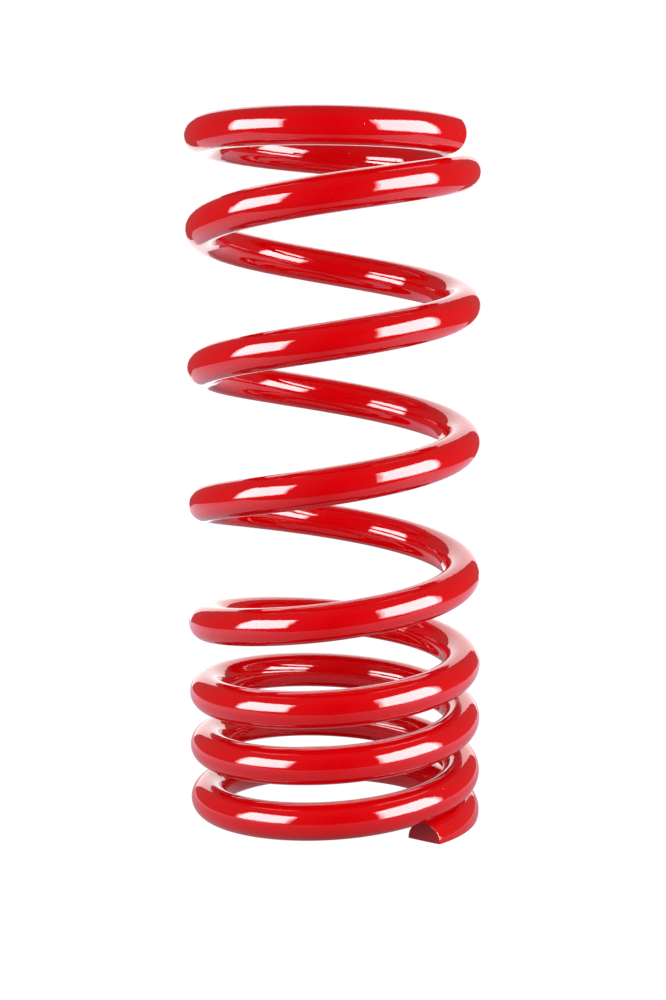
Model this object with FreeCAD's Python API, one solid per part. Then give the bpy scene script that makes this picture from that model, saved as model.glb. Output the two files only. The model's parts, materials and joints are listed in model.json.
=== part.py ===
import FreeCAD, Part
import math
import os

# A right-hand wound compression spring with one ground end, standing on that end.
# Millimetres. Heights are above the ground seat face and positions lie round the coil axis.
# Angles are degrees round the axis from the front (-Y), counter-clockwise seen from above,
# and turns are counted from the ground tip.

# Bar and coil
WIRE_DIAMETER = 14.0
INNER_DIAMETER = 85.0
TIP_ANGLE = 42.0
TIP_HEIGHT = 1.1
TIP_SKEW = 12.0
END_ROUNDING = 0.8

# Gap between a turn and the next one above it: at the tip, in the close turns, in the open
# turns, and where the upper end comes to lie over the turn below
TIP_GAP = 0.695
CLOSE_GAP = 7.1
OPEN_GAP = 38.1
END_GAP = 0.86

# Turns in each stretch of the coil, from the ground tip up. In the easing stretches the pitch
# changes evenly from the one before to the one after.
SEAT_TURNS = 0.56
SEAT_EASING_TURNS = 0.10
CLOSE_TURNS = 2.22
OPEN_EASING_TURNS = 1.56
OPEN_TURNS = 2.39
END_EASING_TURNS = 1.22

# How far the close and the open turns lean out of square: rise towards +X and towards -Y
CLOSE_LEAN_RIGHT = 0.1
CLOSE_LEAN_FRONT = -1.3
OPEN_LEAN_RIGHT = -0.6
OPEN_LEAN_FRONT = 0.8

# The bar's division into lengths. The lengths between the seat coil and the top coil twist
# against each other, as the bar of a working spring twists along itself.
SEAT_COIL_TURNS = 1.0
SEAT_LENGTHS = 4
CLOSE_LENGTHS = 8
OPEN_LENGTHS = 17
TOP_COIL_TURNS = 0.95
TOP_LENGTHS = 4
TWIST_CLEARANCE = 0.05

# Curve and cutting margins
ARC_STEP = 45.0
CUT_MARGIN = 4.0

WIRE_RADIUS = WIRE_DIAMETER / 2
COIL_RADIUS = (INNER_DIAMETER + WIRE_DIAMETER) / 2
OUTER_RADIUS = COIL_RADIUS + WIRE_RADIUS

# Turn marks, from the ground tip
CLOSE_FROM_TURN = SEAT_TURNS + SEAT_EASING_TURNS
CLOSE_TO_TURN = CLOSE_FROM_TURN + CLOSE_TURNS
OPEN_FROM_TURN = CLOSE_TO_TURN + OPEN_EASING_TURNS
OPEN_TO_TURN = OPEN_FROM_TURN + OPEN_TURNS
TOTAL_TURNS = OPEN_TO_TURN + END_EASING_TURNS
WORKING_TO_TURN = TOTAL_TURNS - TOP_COIL_TURNS

# Pitch is the rise of the centre line in one turn. The seat pitch leaves the tip gap over the
# first turn, and the end pitch leaves the end gap over the last one.
CLOSE_PITCH = WIRE_DIAMETER + CLOSE_GAP
OPEN_PITCH = WIRE_DIAMETER + OPEN_GAP
SEAT_SHARE = SEAT_TURNS + SEAT_EASING_TURNS / 2
SEAT_PITCH = (WIRE_DIAMETER + TIP_GAP - CLOSE_PITCH * (1 - SEAT_SHARE)) / SEAT_SHARE
EASING_SHARE = 1 / (2 * END_EASING_TURNS)
END_PITCH = (WIRE_DIAMETER + END_GAP - OPEN_PITCH * EASING_SHARE) / (1 - EASING_SHARE)

# (turn mark, pitch at that mark)
PITCH_MARKS = (
    (SEAT_TURNS, SEAT_PITCH),
    (CLOSE_FROM_TURN, CLOSE_PITCH),
    (CLOSE_TO_TURN, CLOSE_PITCH),
    (OPEN_FROM_TURN, OPEN_PITCH),
    (OPEN_TO_TURN, OPEN_PITCH),
    (TOTAL_TURNS, END_PITCH),
)


def pitch(turn):
    """Rise per turn of the centre line, before the lean."""
    before = PITCH_MARKS[0]
    for mark in PITCH_MARKS:
        if turn <= mark[0]:
            if mark[0] == before[0]:
                return mark[1]
            share = (turn - before[0]) / (mark[0] - before[0])
            return before[1] + share * (mark[1] - before[1])
        before = mark
    return before[1]


def rise(turn):
    """Height of the centre line over its height at the tip, before the lean."""
    total = 0.0
    here = min(turn, 0.0)
    total += here * pitch(here)
    here = 0.0
    for mark in PITCH_MARKS:
        upto = min(turn, mark[0])
        if upto > here:
            total += (upto - here) * (pitch(here) + pitch(upto)) / 2
            here = upto
    if turn > here:
        total += (turn - here) * pitch(turn)
    return total


def lean(turn):
    """Rise of the coil's plane towards +X and towards -Y, over one coil radius."""
    share = (turn - CLOSE_TO_TURN) / (OPEN_FROM_TURN - CLOSE_TO_TURN)
    share = min(1.0, max(0.0, share))
    right = CLOSE_LEAN_RIGHT + share * (OPEN_LEAN_RIGHT - CLOSE_LEAN_RIGHT)
    front = CLOSE_LEAN_FRONT + share * (OPEN_LEAN_FRONT - CLOSE_LEAN_FRONT)
    return right, front


def centre(turn):
    """The bar's centre at a turn count."""
    angle = math.radians(TIP_ANGLE + 360.0 * turn)
    right, front = lean(turn)
    height = TIP_HEIGHT + rise(turn) + right * math.sin(angle) + front * math.cos(angle)
    return FreeCAD.Vector(COIL_RADIUS * math.sin(angle), -COIL_RADIUS * math.cos(angle), height)


def direction(turn):
    """Unit vector along the bar at a turn count, towards the top end."""
    step = 1e-4
    return (centre(turn + step) - centre(turn - step)).normalize()


def arc_piece(start, along, end):
    """Round bar along the circular arc that leaves start in a direction and reaches end."""
    chord = end - start
    inward = (chord - along * chord.dot(along)).normalize()
    radius = chord.dot(chord) / (2 * chord.dot(inward))
    bend = 2 * math.degrees(chord.getAngle(along))
    disc = Part.Face(Part.Wire([Part.Circle(start, along, WIRE_RADIUS).toShape()]))
    return disc.revolve(start + inward * radius, along.cross(inward), bend)


def bar_pieces(start, end):
    """Arcs of round bar, end to end, from one turn count to another.

    Each step is two arcs that meet in one tangent and keep the coil's directions at its ends.
    """
    count = max(1, round((end - start) * 360.0 / ARC_STEP))
    pieces = []
    for index in range(count):
        turn = start + (end - start) * index / count
        after = start + (end - start) * (index + 1) / count
        first, last = centre(turn), centre(after)
        leave, arrive = direction(turn), direction(after)
        span = last - first
        both = leave + arrive
        spread = 2 * (1 - leave.dot(arrive))
        reach = (math.sqrt(span.dot(both) ** 2 + spread * span.dot(span)) - span.dot(both)) / spread
        middle = (first + leave * reach + last - arrive * reach) / 2
        meeting = (last - first - both * reach).normalize()
        pieces.append(arc_piece(first, leave, middle))
        pieces.append(arc_piece(middle, meeting, last))
    return pieces


def bar(start, end):
    """A stretch of round bar in one solid, its ends cut square."""
    pieces = bar_pieces(start, end)
    return pieces[0].multiFuse(pieces[1:])


def turns_along(length):
    """The turn count that a length of bar takes up, on one coil."""
    return length / (2 * math.pi * COIL_RADIUS)


def meeting_turns(start, end, count):
    """Turn counts where equal lengths of bar meet, the two ends of the stretch included."""
    return [start + (end - start) * index / count for index in range(count + 1)]


def lengths(names, start, end, clearance):
    """Equal lengths of bar between two turn counts, with a clearance between each two."""
    turns = meeting_turns(start, end, len(names))
    half_gap = turns_along(clearance) / 2
    made = []
    for name, first, last in zip(names, turns, turns[1:]):
        made.append((name, bar(first + half_gap, last - half_gap)))
    return made


def numbered(stem, count):
    return [f"{stem}_{number:02d}" for number in range(1, count + 1)]


def below_seat():
    """The block that the grinding takes away, under the seat face."""
    side = 2 * (OUTER_RADIUS + CUT_MARGIN)
    depth = WIRE_DIAMETER + CUT_MARGIN
    corner = FreeCAD.Vector(-side / 2, -side / 2, -depth)
    return Part.makeBox(side, side, depth, corner)


def beyond_tip():
    """The block past the tip's cut face, turned by the skew of the cut."""
    depth = 2 * WIRE_DIAMETER
    block = Part.makeBox(depth, depth, 2 * depth, FreeCAD.Vector(-depth, -depth / 2, -depth))
    block.rotate(FreeCAD.Vector(), FreeCAD.Vector(0, 0, 1), TIP_ANGLE + TIP_SKEW)
    block.translate(centre(0.0))
    return block


def seat_coil():
    """The first coil: its tip is cut off at a skew and its underside is ground flat."""
    stem = numbered("seat_coil", SEAT_LENGTHS)
    step = SEAT_COIL_TURNS / SEAT_LENGTHS
    spare = turns_along(WIRE_DIAMETER / 2)
    tip = bar(-spare, step).cut(beyond_tip())
    rest = lengths(stem[1:], step, SEAT_COIL_TURNS, 0.0)
    block = below_seat()
    coil = []
    for name, solid in [(stem[0], tip)] + rest:
        if solid.BoundBox.ZMin < 0:
            solid = solid.cut(block)
        coil.append((name, solid))
    return coil


def close_turns():
    """The closely wound turns above the seat coil."""
    names = numbered("close_turn", CLOSE_LENGTHS)
    return lengths(names, SEAT_COIL_TURNS, CLOSE_TO_TURN, TWIST_CLEARANCE)


def open_turns():
    """The widely wound turns that carry most of the travel."""
    names = numbered("open_turn", OPEN_LENGTHS)
    return lengths(names, CLOSE_TO_TURN, WORKING_TO_TURN, TWIST_CLEARANCE)


def top_coil():
    """The last coil, closed in but not ground, the rim of its cut end rounded off."""
    stem = numbered("top_coil", TOP_LENGTHS)
    last_from = TOTAL_TURNS - TOP_COIL_TURNS / TOP_LENGTHS
    coil = lengths(stem[:-1], WORKING_TO_TURN, last_from, 0.0)
    pieces = bar_pieces(last_from, TOTAL_TURNS)
    end = centre(TOTAL_TURNS)
    rim = min(pieces[-1].Edges, key=lambda edge: (edge.CenterOfMass - end).Length)
    pieces[-1] = pieces[-1].makeFillet(END_ROUNDING, [rim])
    coil.append((stem[-1], pieces[0].multiFuse(pieces[1:])))
    return coil


def main():
    os.makedirs("parts", exist_ok=True)
    height = 0.0
    volume = 0.0
    for name, shape in seat_coil() + close_turns() + open_turns() + top_coil():
        solid = shape.Solids[0]
        height = max(height, solid.BoundBox.ZMax)
        volume += solid.Volume
        solid.exportStep(f"parts/{name}.step")
    print(f"free height {height:.1f} mm, steel volume {volume / 1000:.1f} cm3")


main()
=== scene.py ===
import json
import math

import bpy
from mathutils import Euler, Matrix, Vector


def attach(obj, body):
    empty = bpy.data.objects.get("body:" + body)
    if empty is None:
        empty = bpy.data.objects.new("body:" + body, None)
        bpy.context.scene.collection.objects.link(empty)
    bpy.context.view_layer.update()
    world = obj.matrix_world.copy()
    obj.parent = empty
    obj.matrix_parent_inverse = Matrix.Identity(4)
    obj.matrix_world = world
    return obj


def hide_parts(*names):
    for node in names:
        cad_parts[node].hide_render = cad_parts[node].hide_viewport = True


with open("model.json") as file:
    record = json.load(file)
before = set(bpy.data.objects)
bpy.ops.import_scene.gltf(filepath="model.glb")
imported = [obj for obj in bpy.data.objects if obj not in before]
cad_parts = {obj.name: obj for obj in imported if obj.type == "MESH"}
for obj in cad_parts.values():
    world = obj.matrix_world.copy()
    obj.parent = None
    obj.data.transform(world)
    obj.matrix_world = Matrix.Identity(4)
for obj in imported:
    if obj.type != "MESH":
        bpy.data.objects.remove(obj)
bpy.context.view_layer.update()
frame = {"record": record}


# ------------------------------------------------------------------------------------------------
# Red coat. One baked layer of gloss red powder paint over the whole bar. It has flowed out almost
# smooth, with a faint orange peel and a few dust nibs; on the cut and ground faces it lies thinner
# over the tool marks and is duller and darker.
# ------------------------------------------------------------------------------------------------
RED = (0.72, 0.0006, 0.003, 1.0)
DEEP_RED = (0.64, 0.0004, 0.0025, 1.0)
CUT_RED = (0.42, 0.002, 0.008, 1.0)
CUT_DARK_RED = (0.26, 0.0015, 0.006, 1.0)

# Size of the orange peel, of the dust in it, and of the patches where the colour drifts
PEEL_SIZE = 0.0036
DUST_SIZE = 0.0007
DRIFT_SIZE = 0.03


def feed(tree, entry, value):
    """Gives an input socket a number, a vector or what another socket puts out."""
    if isinstance(value, Figure):
        value = value.socket
    if isinstance(value, bpy.types.NodeSocket):
        tree.links.new(value, entry)
    else:
        entry.default_value = value


class Figure:
    """A number in a node tree, so that a rule is written as arithmetic."""

    def __init__(self, tree, socket):
        self.tree = tree
        self.socket = socket

    def worked(self, operation, *others):
        """What a math operation makes of this number and others."""
        node = self.tree.nodes.new("ShaderNodeMath")
        node.operation = operation
        for entry, value in zip(node.inputs, (self, *others)):
            feed(self.tree, entry, value)
        return Figure(self.tree, node.outputs[0])

    def __add__(self, other):
        return self.worked("ADD", other)

    def __sub__(self, other):
        return self.worked("SUBTRACT", other)

    def __mul__(self, other):
        return self.worked("MULTIPLY", other)

    def __truediv__(self, other):
        return self.worked("DIVIDE", other)

    def __rsub__(self, other):
        return self * -1.0 + other

    def __rtruediv__(self, other):
        return self.worked("POWER", -1.0) * other

    __radd__ = __add__

    def held(self, low, high):
        """This number, kept between two limits."""
        return self.worked("MAXIMUM", low).worked("MINIMUM", high)

    def mixed(self, other, share):
        """Passes from this number to another as the share goes from 0 to 1."""
        return self + (other - self) * share


def live(sockets):
    """The sockets that a node's settings leave in use, in order."""
    return [socket for socket in sockets if socket.enabled]


def node(tree, kind, entries=(), **settings):
    """A node with its settings made and its input sockets fed: each by its name, or by its place
    among those in use."""
    made = tree.nodes.new(kind)
    for name, value in settings.items():
        setattr(made, name, value)
    for entry, value in dict(entries).items():
        socket = live(made.inputs)[entry] if isinstance(entry, int) else made.inputs[entry]
        feed(tree, socket, value)
    return made


def result(made):
    """What a node puts out: the first of its outputs in use."""
    return live(made.outputs)[0]


def group(name, kind, entries, results):
    """A node group with its named sockets; gives back the group and the figures fed into it."""
    tree = bpy.data.node_groups.new(name, kind)
    for label, socket_type in results:
        tree.interface.new_socket(label, in_out="OUTPUT", socket_type=socket_type)
    for label, socket_type, value in entries:
        socket = tree.interface.new_socket(label, in_out="INPUT", socket_type=socket_type)
        if value is not None:
            socket.default_value = value
    fed = tree.nodes.new("NodeGroupInput")
    return tree, {label: Figure(tree, fed.outputs[label]) for label, _, _ in entries}


def hand_out(tree, results):
    """Links what the group has worked out to its output sockets."""
    out = tree.nodes.new("NodeGroupOutput")
    for label, value in results.items():
        feed(tree, out.inputs[label], value)


def flow_group():
    """How evenly the paint has flowed: a height for the bump, and a slow drift from 0 to 1."""
    tree, fed = group(
        "Paint flow",
        "ShaderNodeTree",
        [
            ("Place", "NodeSocketVector", None),
            ("Peel Size", "NodeSocketFloat", PEEL_SIZE),
            ("Dust Size", "NodeSocketFloat", DUST_SIZE),
            ("Dust Share", "NodeSocketFloat", 0.0),
            ("Drift Size", "NodeSocketFloat", DRIFT_SIZE),
        ],
        [("Height", "NodeSocketFloat"), ("Drift", "NodeSocketFloat")],
    )
    noises = []
    for label, detail in (("Peel Size", 1.0), ("Dust Size", 2.0), ("Drift Size", 3.0)):
        noise = node(
            tree,
            "ShaderNodeTexNoise",
            {"Vector": fed["Place"], "Scale": 1.0 / fed[label], "Detail": detail},
        )
        noises.append(Figure(tree, noise.outputs["Fac"]))
    peel, dust, drift = noises
    hand_out(tree, {"Height": peel.mixed(dust, fed["Dust Share"]), "Drift": drift})
    return tree


paint_flow = flow_group()


def paint(name, colours, roughness, bump, dust_share, ior):
    """A coat of the red paint: its two colours, its roughness range, the depth of its bump, the
    share of fine dust in that bump, and how strongly it mirrors."""
    material = bpy.data.materials.new(name)
    material.use_nodes = True
    tree = material.node_tree
    tree.nodes.clear()
    place = node(tree, "ShaderNodeTexCoord").outputs["Object"]
    flow = tree.nodes.new("ShaderNodeGroup")
    flow.node_tree = paint_flow
    feed(tree, flow.inputs["Place"], place)
    feed(tree, flow.inputs["Dust Share"], dust_share)
    drift = flow.outputs["Drift"]
    colour = node(
        tree,
        "ShaderNodeMix",
        {0: drift, 1: colours[0], 2: colours[1]},
        data_type="RGBA",
    )
    dullness = Figure(tree, drift) * (roughness[1] - roughness[0]) + roughness[0]
    relief = node(
        tree,
        "ShaderNodeBump",
        {"Height": flow.outputs["Height"], "Strength": 1.0, "Distance": bump},
    )
    surface = node(
        tree,
        "ShaderNodeBsdfPrincipled",
        {
            "Base Color": result(colour),
            "Roughness": dullness,
            "Normal": relief.outputs["Normal"],
            "IOR": ior,
        },
    )
    end = tree.nodes.new("ShaderNodeOutputMaterial")
    tree.links.new(surface.outputs["BSDF"], end.inputs["Surface"])
    return material


gloss_red = paint(
    "gloss_red_coat",
    colours=(RED, DEEP_RED),
    roughness=(0.03, 0.06),
    bump=0.00004,
    dust_share=0.06,
    ior=1.6,
)
cut_red = paint(
    "dull_red_cut_face",
    colours=(CUT_RED, CUT_DARK_RED),
    roughness=(0.32, 0.45),
    bump=0.00012,
    dust_share=0.5,
    ior=1.45,
)


# ------------------------------------------------------------------------------------------------
# Ground end. The first coil of the one round spring-steel bar, wound hot and right-hand. Its tip
# is cropped at a skew, its underside is ground flat so that the spring stands square on the lower
# seat, and the sharp edges are only broken before painting.
# ------------------------------------------------------------------------------------------------
BAR_RADIUS = 0.007
BORE = next(mount for mount in frame["record"]["mounts"] if mount["name"] == "lower_spigot_bore")
COIL_RADIUS = BORE["dims"]["r_mm"] / 1000 + BAR_RADIUS

# Where the tip stands round the axis from the front, and the height of the bar's middle there
TIP_ANGLE = math.radians(42.0)
TIP_HEIGHT = 0.0011

# The cut across the tip: how far it is turned off square, the turns over which the rings behind it
# come square again, how high the middle of the half-moon face lies, and the width of its edge
TIP_SKEW = math.radians(12.0)
TIP_FADE_TURNS = 0.04
TIP_FACE_MIDDLE = 0.0032
BROKEN_EDGE = 0.00035

# Gap over the tip, in the close turns, in the open turns and under the upper end
TIP_GAP = 0.000695
CLOSE_GAP = 0.0071
OPEN_GAP = 0.0381
END_GAP = 0.00086

# Turns of each stretch, from the tip up; the pitch changes evenly in the easing stretches
SEAT_TURNS = 0.56
SEAT_EASING_TURNS = 0.10
CLOSE_TURNS = 2.22
OPEN_EASING_TURNS = 1.56
OPEN_TURNS = 2.39
END_EASING_TURNS = 1.22
SEAT_COIL_TURNS = 1.0

# Rise of the coil's plane towards +X and -Y, in the close and in the open turns
CLOSE_LEAN = (0.0001, -0.0013)
OPEN_LEAN = (-0.0006, 0.0008)

CLOSE_PITCH = 2 * BAR_RADIUS + CLOSE_GAP
OPEN_PITCH = 2 * BAR_RADIUS + OPEN_GAP
SEAT_SHARE = SEAT_TURNS + SEAT_EASING_TURNS / 2
SEAT_PITCH = (2 * BAR_RADIUS + TIP_GAP - CLOSE_PITCH * (1 - SEAT_SHARE)) / SEAT_SHARE
END_SHARE = 1 / (2 * END_EASING_TURNS)
END_PITCH = (2 * BAR_RADIUS + END_GAP - OPEN_PITCH * END_SHARE) / (1 - END_SHARE)

# (turns in the stretch, pitch where it begins, pitch where it ends)
STRETCHES = (
    (SEAT_TURNS, SEAT_PITCH, SEAT_PITCH),
    (SEAT_EASING_TURNS, SEAT_PITCH, CLOSE_PITCH),
    (CLOSE_TURNS, CLOSE_PITCH, CLOSE_PITCH),
    (OPEN_EASING_TURNS, CLOSE_PITCH, OPEN_PITCH),
    (OPEN_TURNS, OPEN_PITCH, OPEN_PITCH),
    (END_EASING_TURNS, OPEN_PITCH, END_PITCH),
)
CLOSE_TO_TURN = SEAT_TURNS + SEAT_EASING_TURNS + CLOSE_TURNS
TOTAL_TURNS = CLOSE_TO_TURN + OPEN_EASING_TURNS + OPEN_TURNS + END_EASING_TURNS

# Dust nibs under the paint: how many to a square metre, their radius, the least and the most that
# their widths are multiplied by, and how flat they are
NIB_DENSITY = 700.0
NIB_SIZE = 0.00024
NIB_WIDTHS = (0.45, 1.2)
NIB_FLATNESS = 0.4

# Mesh: rings to a turn, faces round the bar, those of them on the ground flat, rings over an edge,
# and how finely a nib is divided
RINGS_PER_TURN = 240
SIDES = 64
FLAT_SIDES = 16
EDGE_RINGS = 3
NIB_SUBDIVISIONS = 2

# The flat's edge is at most this far round from the level of the bar's middle, and the rows stop
# this far short of it on either side
WIDEST_ROUND_STEP = math.radians(75.0)
EDGE_STEP = math.radians(2.5)

# Faces nearer than this to the middle of an end, in rings, are its cut face; so are those lower
# than this. Points closer than the weld are one.
CUT_RINGS = 0.9
SEAT_LEVEL = 1e-6
WELD = 1e-5

# One turn of the bar, and the part of a turn over which its direction is taken
COIL_LENGTH = math.tau * COIL_RADIUS
DIRECTION_STEP = 0.001


def vector(tree, operation, *values):
    """What a vector operation makes of its values."""
    entries = enumerate(values)
    return result(node(tree, "ShaderNodeVectorMath", entries, operation=operation))


def dot(tree, one, other):
    return Figure(tree, vector(tree, "DOT_PRODUCT", one, other))


def xyz(tree, x, y, z):
    return node(tree, "ShaderNodeCombineXYZ", {"X": x, "Y": y, "Z": z}).outputs[0]


def coil_centre_group():
    """Where the middle of the bar lies at a turn count from the tip."""
    tree, fed = group(
        "Coil centre",
        "GeometryNodeTree",
        [
            ("Turn", "NodeSocketFloat", 0.0),
            ("Coil Radius", "NodeSocketFloat", COIL_RADIUS),
            ("Tip Angle", "NodeSocketFloat", TIP_ANGLE),
            ("Tip Height", "NodeSocketFloat", TIP_HEIGHT),
        ],
        [("Centre", "NodeSocketVector"), ("Outward", "NodeSocketVector")],
    )
    turn = fed["Turn"]
    angle = turn * math.tau + fed["Tip Angle"]
    height = fed["Tip Height"] + turn.worked("MINIMUM", 0.0) * SEAT_PITCH
    begin = 0.0
    for turns, before, after in STRETCHES:
        inside = (turn - begin).held(0.0, turns)
        height = height + inside * (inside * ((after - before) / (2 * turns)) + before)
        begin += turns
    share = ((turn - CLOSE_TO_TURN) / OPEN_EASING_TURNS).held(0.0, 1.0)
    right = share * (OPEN_LEAN[0] - CLOSE_LEAN[0]) + CLOSE_LEAN[0]
    front = share * (OPEN_LEAN[1] - CLOSE_LEAN[1]) + CLOSE_LEAN[1]
    sine, cosine = angle.worked("SINE"), angle.worked("COSINE")
    outward = xyz(tree, sine, cosine * -1.0, 0.0)
    flat = vector(tree, "SCALE", outward, fed["Coil Radius"])
    up = xyz(tree, 0.0, 0.0, height + right * sine + front * cosine)
    hand_out(tree, {"Centre": vector(tree, "ADD", flat, up), "Outward": outward})
    return tree


coil_centre = coil_centre_group()


def bar_skin_group():
    """A point of the bar's skin, its outward normal and the bar's direction there."""
    tree, fed = group(
        "Bar skin",
        "GeometryNodeTree",
        [
            ("Turn", "NodeSocketFloat", 0.0),
            ("Around", "NodeSocketFloat", 0.0),
            ("Radius", "NodeSocketFloat", BAR_RADIUS),
        ],
        [
            ("Position", "NodeSocketVector"),
            ("Normal", "NodeSocketVector"),
            ("Along", "NodeSocketVector"),
            ("Centre", "NodeSocketVector"),
        ],
    )
    here, after, before = [
        node(tree, "GeometryNodeGroup", {"Turn": fed["Turn"] + shift}, node_tree=coil_centre)
        for shift in (0.0, DIRECTION_STEP, -DIRECTION_STEP)
    ]
    chord = vector(tree, "SUBTRACT", after.outputs["Centre"], before.outputs["Centre"])
    along = vector(tree, "NORMALIZE", chord)
    outward = here.outputs["Outward"]
    downward = vector(tree, "CROSS_PRODUCT", along, outward)
    level = vector(tree, "SCALE", outward, fed["Around"].worked("COSINE"))
    upright = vector(tree, "SCALE", downward, fed["Around"].worked("SINE"))
    normal = vector(tree, "ADD", level, upright)
    reach = vector(tree, "SCALE", normal, fed["Radius"])
    centre = here.outputs["Centre"]
    position = vector(tree, "ADD", centre, reach)
    hand_out(tree, {"Position": position, "Normal": normal, "Along": along, "Centre": centre})
    return tree


bar_skin = bar_skin_group()

BAR_ENTRIES = [
    ("From Turn", "NodeSocketFloat", 0.0),
    ("To Turn", "NodeSocketFloat", 1.0),
    ("Rings", "NodeSocketInt", RINGS_PER_TURN),
    ("Sides", "NodeSocketInt", SIDES),
    ("Bar Radius", "NodeSocketFloat", BAR_RADIUS),
    ("Start Rounding", "NodeSocketFloat", 0.0),
    ("End Rounding", "NodeSocketFloat", 0.0),
    ("Nibs per Square Metre", "NodeSocketFloat", NIB_DENSITY),
    ("Nib Size", "NodeSocketFloat", NIB_SIZE),
    ("Nib Flatness", "NodeSocketFloat", NIB_FLATNESS),
    ("Seed", "NodeSocketInt", 1),
    ("Paint", "NodeSocketMaterial", None),
    ("Cut Face Paint", "NodeSocketMaterial", None),
]


def bar_sheet(tree, fed):
    """A sheet that closes over the whole length: from the middle of one end face over its rim,
    along the skin, and over the other rim to the middle of the other end face.

    Gives the sheet and, at each point of it, the turn count, the radius of its ring, how far the
    normal tilts off the skin's towards the end face, the row round the bar, the count of rings
    from the middle of the nearer end face, and 1 on the half nearer the start."""
    columns = fed["Rings"] + (2.0 * EDGE_RINGS + 3.0)
    sizes = {"Size X": 1.0, "Size Y": 1.0, "Vertices X": columns, "Vertices Y": fed["Sides"] + 1.0}
    sheet = node(tree, "GeometryNodeMeshGrid", sizes)
    place = node(tree, "ShaderNodeSeparateXYZ", {0: sheet.outputs["UV Map"]})
    across = Figure(tree, place.outputs["X"]) * (columns - 1.0)
    from_middle = across.worked("MINIMUM", (columns - 1.0) - across)
    column = across.worked("ROUND")
    row = (Figure(tree, place.outputs["Y"]) * fed["Sides"]).worked("ROUND")
    nearer = column.worked("MINIMUM", (columns - 1.0) - column)
    at_start = column.worked("LESS_THAN", columns / 2.0)
    rounding = fed["End Rounding"].mixed(fed["Start Rounding"], at_start)
    tilt = (1.0 - ((nearer - 1.0) / EDGE_RINGS).held(0.0, 1.0)) * (math.pi / 2)
    radius = fed["Bar Radius"] - rounding * (1.0 - tilt.worked("COSINE"))
    radius = radius * nearer.worked("MINIMUM", 1.0)
    first = fed["From Turn"] + fed["Start Rounding"] / COIL_LENGTH
    last = fed["To Turn"] - fed["End Rounding"] / COIL_LENGTH
    ring = ((column - (EDGE_RINGS + 1.0)) / fed["Rings"]).held(0.0, 1.0)
    over_rim = rounding * tilt.worked("SINE") / COIL_LENGTH
    turn = first.mixed(last, ring) - over_rim * (at_start * 2.0 - 1.0)
    return sheet.outputs["Mesh"], turn, radius, tilt, row, from_middle, at_start


def end_normal(tree, at_start, along, start_face):
    """The outward normal of the end face on this half of the length."""
    start = vector(tree, "SCALE", start_face, at_start * -1.0)
    end = vector(tree, "SCALE", along, 1.0 - at_start)
    return vector(tree, "ADD", start, end)


def finished_bar(tree, fed, sheet, position, normal, from_middle):
    """Shapes the sheet, closes its seams, gives it its normals, nibs and paint. The faces round
    the middle of an end face and those in the seat plane are the cut ones."""
    shaped = node(tree, "GeometryNodeSetPosition", {"Geometry": sheet, "Position": position})
    place = node(tree, "GeometryNodeInputPosition")
    height = Figure(tree, node(tree, "ShaderNodeSeparateXYZ", {0: place.outputs[0]}).outputs["Z"])
    in_end_face = from_middle.worked("LESS_THAN", CUT_RINGS)
    cut = in_end_face.worked("MAXIMUM", height.worked("LESS_THAN", SEAT_LEVEL))
    kept = node(
        tree,
        "GeometryNodeStoreNamedAttribute",
        {"Geometry": shaped.outputs[0], "Name": "true_normal", "Value": normal},
        data_type="FLOAT_VECTOR",
        domain="CORNER",
    )
    marked = node(
        tree,
        "GeometryNodeStoreNamedAttribute",
        {"Geometry": kept.outputs[0], "Name": "cut_face", "Value": cut},
        data_type="BOOLEAN",
        domain="FACE",
    )
    closed = node(
        tree,
        "GeometryNodeMergeByDistance",
        {"Geometry": marked.outputs[0], "Distance": WELD},
    )
    turned = node(tree, "GeometryNodeFlipFaces", {"Mesh": closed.outputs[0]})
    true_normal = node(
        tree,
        "GeometryNodeInputNamedAttribute",
        {"Name": "true_normal"},
        data_type="FLOAT_VECTOR",
    )
    smooth = node(
        tree,
        "GeometryNodeSetMeshNormal",
        {"Mesh": turned.outputs[0], "Custom Normal": true_normal.outputs[0]},
        mode="TANGENT_SPACE",
        domain="CORNER",
    )
    cut_face = node(
        tree,
        "GeometryNodeInputNamedAttribute",
        {"Name": "cut_face"},
        data_type="BOOLEAN",
    )
    skin = node(tree, "FunctionNodeBooleanMath", {0: cut_face.outputs[0]}, operation="NOT")
    specks = node(
        tree,
        "GeometryNodeDistributePointsOnFaces",
        {
            "Mesh": smooth.outputs[0],
            "Selection": skin.outputs[0],
            "Density": fed["Nibs per Square Metre"],
            "Seed": fed["Seed"],
        },
    )
    nib = node(
        tree,
        "GeometryNodeMeshIcoSphere",
        {"Radius": fed["Nib Size"], "Subdivisions": NIB_SUBDIVISIONS},
    )
    spread = node(
        tree,
        "FunctionNodeRandomValue",
        {0: NIB_WIDTHS[0], 1: NIB_WIDTHS[1], "Seed": fed["Seed"]},
        data_type="FLOAT",
    )
    width = Figure(tree, result(spread))
    nibs = node(
        tree,
        "GeometryNodeInstanceOnPoints",
        {
            "Points": specks.outputs["Points"],
            "Instance": nib.outputs["Mesh"],
            "Rotation": specks.outputs["Rotation"],
            "Scale": xyz(tree, width, width, width * fed["Nib Flatness"]),
        },
    )
    whole = node(tree, "GeometryNodeJoinGeometry")
    tree.links.new(smooth.outputs[0], whole.inputs[0])
    tree.links.new(nibs.outputs[0], whole.inputs[0])
    real = node(tree, "GeometryNodeRealizeInstances", {"Geometry": whole.outputs[0]})
    painted = node(
        tree,
        "GeometryNodeSetMaterial",
        {"Geometry": real.outputs[0], "Material": fed["Paint"]},
    )
    ends = node(
        tree,
        "GeometryNodeSetMaterial",
        {
            "Geometry": painted.outputs[0],
            "Selection": cut_face.outputs[0],
            "Material": fed["Cut Face Paint"],
        },
    )
    hand_out(tree, {"Geometry": ends.outputs[0]})
    return tree


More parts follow.
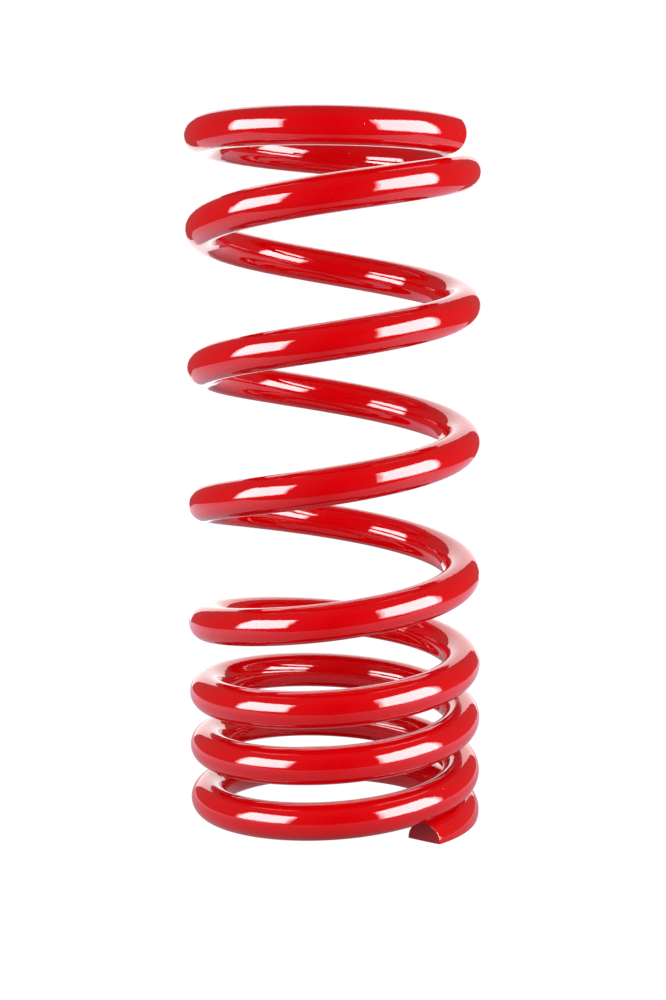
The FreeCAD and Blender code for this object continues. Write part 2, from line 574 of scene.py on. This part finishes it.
def ground_bar_tree():
    """The coil that is cropped at a skew and ground flat underneath."""
    tree, fed = group(
        "Ground bar",
        "GeometryNodeTree",
        BAR_ENTRIES
        + [
            ("Tip Face Angle", "NodeSocketFloat", TIP_ANGLE + TIP_SKEW),
            ("Tip Face Middle", "NodeSocketFloat", TIP_FACE_MIDDLE),
        ],
        [("Geometry", "NodeSocketGeometry")],
    )
    sheet, turn, radius, tilt, row, from_middle, at_start = bar_sheet(tree, fed)

    # Rows crowd on to the ground flat, which spans the bar between two angles round it
    plain = node(tree, "GeometryNodeGroup", {"Turn": turn}, node_tree=bar_skin)
    height = node(tree, "ShaderNodeSeparateXYZ", {0: plain.outputs["Centre"]}).outputs["Z"]
    edge = (Figure(tree, height) / fed["Bar Radius"]).held(0.0, math.sin(WIDEST_ROUND_STEP))
    edge = edge.worked("ARCSINE")
    flat_row = row.worked("MODULO", fed["Sides"])
    span = math.pi - (edge + EDGE_STEP) * 2.0
    on_flat = edge + EDGE_STEP + span * flat_row / FLAT_SIDES
    round_row = (flat_row - (FLAT_SIDES + 1.0)) / (fed["Sides"] - (FLAT_SIDES + 2.0))
    on_round = math.pi - edge + EDGE_STEP + (math.pi + (edge - EDGE_STEP) * 2.0) * round_row
    around = on_flat.mixed(on_round, flat_row.worked("GREATER_THAN", FLAT_SIDES + 0.5))

    # The tip face is upright and skewed, so that its rings are slid along the bar to meet it
    face_angle = fed["Tip Face Angle"]
    face = xyz(tree, face_angle.worked("COSINE"), face_angle.worked("SINE"), 0.0)
    square = node(tree, "GeometryNodeGroup", {"Turn": turn, "Around": around}, node_tree=bar_skin)
    lead = dot(tree, square.outputs["Normal"], face) / dot(tree, square.outputs["Along"], face)
    fade = 1.0 - (turn / TIP_FADE_TURNS).held(0.0, 1.0)
    slid = turn - radius * lead * fade / COIL_LENGTH
    entries = {"Turn": slid, "Around": around, "Radius": radius}
    skin = node(tree, "GeometryNodeGroup", entries, node_tree=bar_skin)

    # Grinding: what would lie under the seat plane is brought up to it
    point = node(tree, "ShaderNodeSeparateXYZ", {0: skin.outputs["Position"]})
    low = Figure(tree, point.outputs["Z"])
    middle = (1.0 - from_middle.held(0.0, 1.0)) * at_start * fed["Tip Face Middle"]
    level = low.worked("MAXIMUM", 0.0) + middle
    position = xyz(tree, point.outputs["X"], point.outputs["Y"], level)
    ground = low.worked("LESS_THAN", 0.0)
    lateral = node(
        tree,
        "ShaderNodeMix",
        {0: ground, 1: skin.outputs["Normal"], 2: (0.0, 0.0, -1.0)},
        data_type="VECTOR",
    )
    off_skin = vector(tree, "SCALE", result(lateral), tilt.worked("COSINE"))
    facing = end_normal(tree, at_start, skin.outputs["Along"], face)
    on_face = vector(tree, "SCALE", facing, tilt.worked("SINE"))
    normal = vector(tree, "NORMALIZE", vector(tree, "ADD", off_skin, on_face))
    return finished_bar(tree, fed, sheet, position, normal, from_middle)


def rings_in(turns):
    return max(2, round(turns * RINGS_PER_TURN))


def made_piece(name, tree, sizes):
    """A plain mesh object of what the tree makes with these sizes."""
    piece = bpy.data.objects.new(name, bpy.data.meshes.new(name))
    bpy.context.collection.objects.link(piece)
    modifier = piece.modifiers.new("Making", "NODES")
    modifier.node_group = tree
    for socket in tree.interface.items_tree:
        if socket.in_out == "INPUT" and socket.name in sizes:
            modifier[socket.identifier] = sizes[socket.name]
    graph = bpy.context.evaluated_depsgraph_get()
    mesh = bpy.data.meshes.new_from_object(piece.evaluated_get(graph), depsgraph=graph)
    mesh.name = name
    piece.modifiers.clear()
    piece.data = mesh
    return piece


def nodes_of(body):
    """The CAD nodes that a body carries."""
    return frame["record"]["behaviour"]["bodies"][body]


ground_bar = ground_bar_tree()
ground_end = made_piece(
    "ground_end",
    ground_bar,
    {
        "From Turn": 0.0,
        "To Turn": SEAT_COIL_TURNS,
        "Rings": rings_in(SEAT_COIL_TURNS),
        "Start Rounding": BROKEN_EDGE,
        "Seed": 1,
        "Paint": gloss_red,
        "Cut Face Paint": cut_red,
    },
)
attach(ground_end, "seat_end")
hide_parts(*nodes_of("seat_end"))


# ------------------------------------------------------------------------------------------------
# Close turns (bodies close_turn_01 to close_turn_08). The same bar, wound with a small gap. A
# working bar twists all along itself, so it is made in short lengths, each turning on the one
# before it about the bar's own line; their end faces stay a hair's breadth apart.
# ------------------------------------------------------------------------------------------------
JOINT_CLEARANCE = 0.000002
HALF_CLEARANCE = JOINT_CLEARANCE / 2 / COIL_LENGTH


def round_bar_tree():
    """A length of round bar between two turn counts, its ends square."""
    made = [("Geometry", "NodeSocketGeometry")]
    tree, fed = group("Round bar", "GeometryNodeTree", BAR_ENTRIES, made)
    sheet, turn, radius, tilt, row, from_middle, at_start = bar_sheet(tree, fed)
    around = row.worked("MODULO", fed["Sides"]) * math.tau / fed["Sides"]
    entries = {"Turn": turn, "Around": around, "Radius": radius}
    skin = node(tree, "GeometryNodeGroup", entries, node_tree=bar_skin)
    along = skin.outputs["Along"]
    off_skin = vector(tree, "SCALE", skin.outputs["Normal"], tilt.worked("COSINE"))
    facing = end_normal(tree, at_start, along, along)
    on_face = vector(tree, "SCALE", facing, tilt.worked("SINE"))
    normal = vector(tree, "NORMALIZE", vector(tree, "ADD", off_skin, on_face))
    return finished_bar(tree, fed, sheet, skin.outputs["Position"], normal, from_middle)


round_bar = round_bar_tree()


def wound_lengths(stem, start, end, first_seed):
    """The twisting lengths of one group of turns, each riding on its own body."""
    bodies = [name for name in frame["record"]["behaviour"]["bodies"] if name.startswith(stem)]
    step = (end - start) / len(bodies)
    for index, body in enumerate(sorted(bodies)):
        piece = made_piece(
            f"{body}_bar",
            round_bar,
            {
                "From Turn": start + step * index + HALF_CLEARANCE,
                "To Turn": start + step * (index + 1) - HALF_CLEARANCE,
                "Rings": rings_in(step),
                "Seed": first_seed + index,
                "Paint": gloss_red,
                "Cut Face Paint": cut_red,
            },
        )
        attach(piece, body)
        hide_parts(*nodes_of(body))


wound_lengths("close_turn", SEAT_COIL_TURNS, CLOSE_TO_TURN, first_seed=20)


# ------------------------------------------------------------------------------------------------
# Open turns (bodies open_turn_01 to open_turn_17). The bar eases from the close winding into wide
# turns, which take most of the travel; the last of them begins to close in towards the top.
# ------------------------------------------------------------------------------------------------
TOP_COIL_TURNS = 0.95
WORKING_TO_TURN = TOTAL_TURNS - TOP_COIL_TURNS

wound_lengths("open_turn", CLOSE_TO_TURN, WORKING_TO_TURN, first_seed=40)


# ------------------------------------------------------------------------------------------------
# Upper end (body top_end). The last coil is closed in until the bar's end lies just over the coil
# below. It isn't ground: the bar keeps its round section to a square-cropped end with its rim
# rounded off, and bears on a shaped pad in the upper seat. More dust has settled on it.
# ------------------------------------------------------------------------------------------------
END_ROUNDING = 0.0008
UPPER_NIB_DENSITY = 2600.0
UPPER_NIB_SIZE = 0.0003

top_end = made_piece(
    "upper_end",
    round_bar,
    {
        "From Turn": WORKING_TO_TURN + HALF_CLEARANCE,
        "To Turn": TOTAL_TURNS,
        "Rings": rings_in(TOP_COIL_TURNS),
        "End Rounding": END_ROUNDING,
        "Nibs per Square Metre": UPPER_NIB_DENSITY,
        "Nib Size": UPPER_NIB_SIZE,
        "Seed": 70,
        "Paint": gloss_red,
        "Cut Face Paint": cut_red,
    },
)
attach(top_end, "top_end")
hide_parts(*nodes_of("top_end"))


# ------------------------------------------------------------------------------------------------
# Floor. Plain and pale, and lit evenly by a glow of its own. It is white under and behind the
# spring and a shade greyer in front of it, so that the spring stands out from behind as well.
# ------------------------------------------------------------------------------------------------
FLOOR_SIDE = 12.0
FLOOR_GREY = 0.05
FLOOR_ROUGHNESS = 0.9
FLOOR_GLOW = 1.0
FLOOR_FRONT_GLOW = 0.58
FLOOR_EASING = (-0.34, -0.2)
WHITE = (1.0, 1.0, 1.0, 1.0)


def studio_sheet(name, corners, material):
    """A rectangle of the studio with U and V from 0 to 1 over it."""
    mesh = bpy.data.meshes.new(name)
    mesh.from_pydata(corners, [], [(0, 1, 2, 3)])
    over = mesh.uv_layers.new(name="UVMap")
    for corner, place in zip(over.data, ((0, 0), (1, 0), (1, 1), (0, 1))):
        corner.uv = place
    mesh.materials.append(material)
    piece = bpy.data.objects.new(name, mesh)
    bpy.context.collection.objects.link(piece)
    return piece


def level_sheet(name, side, front, back, height, material):
    """A level rectangle, as far to the left as to the right."""
    places = ((-side, front), (side, front), (side, back), (-side, back))
    return studio_sheet(name, [(x, y, height) for x, y in places], material)


def eased(figure, limits):
    """From 0 at the first limit to 1 at the second."""
    return ((figure - limits[0]) / (limits[1] - limits[0])).held(0.0, 1.0)


floor_material = bpy.data.materials.new("pale_floor")
floor_material.use_nodes = True
floor_tree = floor_material.node_tree
floor_surface = floor_tree.nodes["Principled BSDF"]
floor_surface.inputs["Base Color"].default_value = (FLOOR_GREY, FLOOR_GREY, FLOOR_GREY, 1.0)
floor_surface.inputs["Roughness"].default_value = FLOOR_ROUGHNESS
floor_surface.inputs["Specular IOR Level"].default_value = 0.0
floor_surface.inputs["Emission Color"].default_value = WHITE
floor_place = node(floor_tree, "ShaderNodeTexCoord").outputs["Object"]
floor_split = node(floor_tree, "ShaderNodeSeparateXYZ", {0: floor_place})
towards_back = eased(Figure(floor_tree, floor_split.outputs["Y"]), FLOOR_EASING)
floor_glow = towards_back * (FLOOR_GLOW - FLOOR_FRONT_GLOW) + FLOOR_FRONT_GLOW
feed(floor_tree, floor_surface.inputs["Emission Strength"], floor_glow)
floor_half = FLOOR_SIDE / 2
floor = level_sheet("floor", floor_half, -floor_half, floor_half, 0.0, floor_material)
floor.visible_glossy = False
floor.visible_diffuse = False


# ------------------------------------------------------------------------------------------------
# Mirrored table. What the gloss mirrors is set apart from what lights the colour, so the table that
# the undersides of the turns mirror is a glowing sheet just under the floor, which nothing else
# sees. It is dim under the spring, a painted shadow of the spring on the table, brighter to the
# sides, and ends a little in front of it.
# ------------------------------------------------------------------------------------------------
TABLE_FRONT = -0.19
TABLE_BACK = 0.5
TABLE_SIDE = 0.5
TABLE_DROP = 0.0005
# Glow along the middle under the spring, dimmed there as a painted shadow of the spring
TABLE_SHADOWED_GLOW = 0.3
TABLE_FAR_GLOW = 1.15
TABLE_FADE = 0.22
TABLE_TINT = (1.0, 0.8, 0.95, 1.0)


def glow(name, tint, pattern):
    """A plain glowing material whose strength is a pattern of the sheet's own U and V."""
    material = bpy.data.materials.new(name)
    material.use_nodes = True
    tree = material.node_tree
    tree.nodes.clear()
    over = node(tree, "ShaderNodeTexCoord").outputs["UV"]
    place = node(tree, "ShaderNodeSeparateXYZ", {0: over})
    strength = pattern(Figure(tree, place.outputs["X"]), Figure(tree, place.outputs["Y"]))
    light = node(tree, "ShaderNodeEmission", {"Color": tint, "Strength": strength})
    end = tree.nodes.new("ShaderNodeOutputMaterial")
    tree.links.new(result(light), end.inputs["Surface"])
    return material


def only_mirrored(piece):
    """Leaves a sheet to be seen in the gloss alone."""
    piece.visible_camera = False
    piece.visible_diffuse = False
    piece.visible_shadow = False


def brighter_outwards(u, v):
    """Dim along the sheet's middle line, a painted shadow of the spring there, and at its full glow
    from the fade's width outwards.
    """
    off_middle = (u - 0.5).worked("ABSOLUTE") * (2 * TABLE_SIDE / TABLE_FADE)
    return off_middle.held(0.0, 1.0) * (TABLE_FAR_GLOW - TABLE_SHADOWED_GLOW) + TABLE_SHADOWED_GLOW


table_white = glow("table_white", TABLE_TINT, brighter_outwards)
table = level_sheet(
    "mirrored_table",
    TABLE_SIDE,
    TABLE_FRONT,
    TABLE_BACK,
    -TABLE_DROP,
    table_white,
)
only_mirrored(table)


# ------------------------------------------------------------------------------------------------
# Soft boxes. Two upright boxes of white cloth in front of the spring, one on each side. Each is a
# glowing sheet that only the gloss mirrors, its cloth darker at the rim, and a plain area light in
# the same place that lights the colour.
# ------------------------------------------------------------------------------------------------
BOX_DISTANCE = 0.9
BOX_GLOW = 15.5
BOX_TINT = (0.97, 0.97, 1.0, 1.0)
BOX_RIM = 0.12
KEY_GLOW = 4.5
KEY_TOP = 0.6


def fading_edges(u, v):
    """Full glow in the middle of the sheet, down to none at its edges."""
    strength = BOX_GLOW
    for along in (u, v):
        from_edge = 0.5 - (along - 0.5).worked("ABSOLUTE")
        strength = (from_edge / BOX_RIM).held(0.0, 1.0) * strength
    return strength


box_white = glow("box_white", BOX_TINT, fading_edges)


def soft_box(name, bearing, width, bottom, top, roll):
    """An upright soft box facing the spring from a bearing off the front, in degrees and
    right-hand positive: the sheet that the gloss mirrors, and the light that it gives."""
    bearing = math.radians(bearing)
    away = Vector((math.sin(bearing), -math.cos(bearing), 0.0))
    towards = away.to_track_quat("Z", "Y")
    facing = towards.to_matrix() @ Euler((0.0, 0.0, math.radians(roll))).to_matrix()
    middle = away * BOX_DISTANCE + Vector((0.0, 0.0, (top + bottom) / 2))
    half_width, half_height = width / 2, (top - bottom) / 2
    corners = [
        middle + facing @ Vector((x * half_width, y * half_height, 0.0))
        for x, y in ((-1, -1), (1, -1), (1, 1), (-1, 1))
    ]
    only_mirrored(studio_sheet(f"{name}_mirrored", corners, box_white))
    light = bpy.data.lights.new(name, "AREA")
    light.shape = "RECTANGLE"
    light.size = width
    light.size_y = KEY_TOP - bottom
    light.energy = KEY_GLOW * math.pi * width * light.size_y
    key = bpy.data.objects.new(name, light)
    bpy.context.collection.objects.link(key)
    key.location = away * BOX_DISTANCE + Vector((0.0, 0.0, (KEY_TOP + bottom) / 2))
    key.rotation_euler = towards.to_euler()
    key.visible_glossy = False


soft_box("left_box", bearing=-59.0, width=0.80, bottom=0.0, top=0.80, roll=0.0)
soft_box("right_box", bearing=58.0, width=0.97, bottom=-0.10, top=0.88, roll=6.0)


# ------------------------------------------------------------------------------------------------
# Studio air. The gloss mirrors a dim room, darkest in front, with a pale backdrop straight behind
# the spring. The colour is lit softly from all round, and the air itself is seen white behind the
# spring and a shade greyer in front of it, like the floor.
# ------------------------------------------------------------------------------------------------
ROOM_GLOW = 0.16
CEILING_FROM = 0.5
BACKDROP_GLOW = 1.9
BACKDROP_SIDE = 0.42
BACKDROP_TOP = 0.75
SOFT_LIGHT = 0.3
FRONT_AIR = 0.62
AIR_EASING = (-0.45, 0.45)

# Keeps the division by the way back clear of nought
LEAST_BACK = 0.001

world = bpy.data.worlds.new("studio_air")
bpy.context.scene.world = world
world.use_nodes = True
air = world.node_tree
air.nodes.clear()
way = node(air, "ShaderNodeTexCoord").outputs["Generated"]
split = node(air, "ShaderNodeSeparateXYZ", {0: way})
sideways = Figure(air, split.outputs["X"]).worked("ABSOLUTE")
back = Figure(air, split.outputs["Y"])
up = Figure(air, split.outputs["Z"])
in_backdrop = (sideways / back.held(LEAST_BACK, 1.0)).worked("LESS_THAN", BACKDROP_SIDE)
in_backdrop = in_backdrop * up.worked("LESS_THAN", BACKDROP_TOP)
room = (sideways + (up - CEILING_FROM).held(0.0, 1.0) + back.held(0.0, 1.0)).held(0.0, 1.0)
mirrored_air = (room * ROOM_GLOW).mixed(BACKDROP_GLOW, in_backdrop)
path = node(air, "ShaderNodeLightPath")
brightness = mirrored_air.mixed(SOFT_LIGHT, path.outputs["Is Diffuse Ray"])
seen_air = eased(back, AIR_EASING) * (1.0 - FRONT_AIR) + FRONT_AIR
brightness = brightness.mixed(seen_air, path.outputs["Is Camera Ray"])
shining = node(air, "ShaderNodeBackground", {"Color": WHITE, "Strength": brightness})
air_end = air.nodes.new("ShaderNodeOutputWorld")
air.links.new(result(shining), air_end.inputs["Surface"])
bpy.context.scene.view_settings.view_transform = "Standard"


# ------------------------------------------------------------------------------------------------
# Camera. It stands low in front of the spring, a little under its upper end, and looks a little
# down on it through a short telephoto lens.
# ------------------------------------------------------------------------------------------------
CAMERA_PLACE = (0.0, -0.72596, 0.22115)
CAMERA_TILT = math.radians(90.0 - 7.573)
CAMERA_YAW = math.radians(0.0306)
CAMERA_ROLL = math.radians(-0.2294)
FOCAL_LENGTH = 68.2
SENSOR_WIDTH = 36.0
NEAREST_SEEN = 0.01

lens = bpy.data.cameras.new("camera")
lens.lens = FOCAL_LENGTH
lens.sensor_width = SENSOR_WIDTH
lens.clip_start = NEAREST_SEEN
camera = bpy.data.objects.new("camera", lens)
bpy.context.collection.objects.link(camera)
camera.location = CAMERA_PLACE
level_view = Euler((CAMERA_TILT, 0.0, CAMERA_YAW)).to_matrix()
camera.rotation_euler = (level_view @ Euler((0.0, 0.0, CAMERA_ROLL)).to_matrix()).to_euler()
bpy.context.scene.camera = camera
